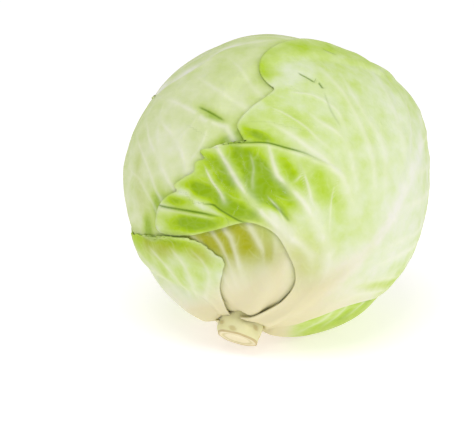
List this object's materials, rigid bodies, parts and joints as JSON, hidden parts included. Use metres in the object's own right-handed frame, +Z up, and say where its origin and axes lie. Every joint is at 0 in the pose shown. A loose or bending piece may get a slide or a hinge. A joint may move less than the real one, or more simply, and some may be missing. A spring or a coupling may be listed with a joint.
{
  "type": "cabbage head",
  "caption": "Whole head of white cabbage with overlapping ribbed wrapper leaves, a torn outer leaf and a short cut stalk.",
  "frame": {"origin": "middle of the small flat spot the head rests on, on the table", "axes": "+Z up, -Y towards the front where the cut stalk points low, +X to the right"},
  "size_m": [0.1815, 0.1852, 0.179],
  "materials": {
    "heart_leaf": "smooth pale inner cabbage leaf",
    "stalk_flesh": "cut cream-coloured cabbage stalk",
    "pale_leaf": "waxy pale green cabbage leaf with whitish veins",
    "green_leaf": "waxy green cabbage leaf with whitish veins"
  },
  "bodies": {
    "root": {"heart": "heart_leaf", "stalk": "stalk_flesh", "leaf_back_left": "pale_leaf", "leaf_under": "green_leaf", "leaf_back_right": "green_leaf", "leaf_left": "pale_leaf", "leaf_right": "green_leaf", "leaf_torn": "green_leaf"}
  },
  "joints": []
}
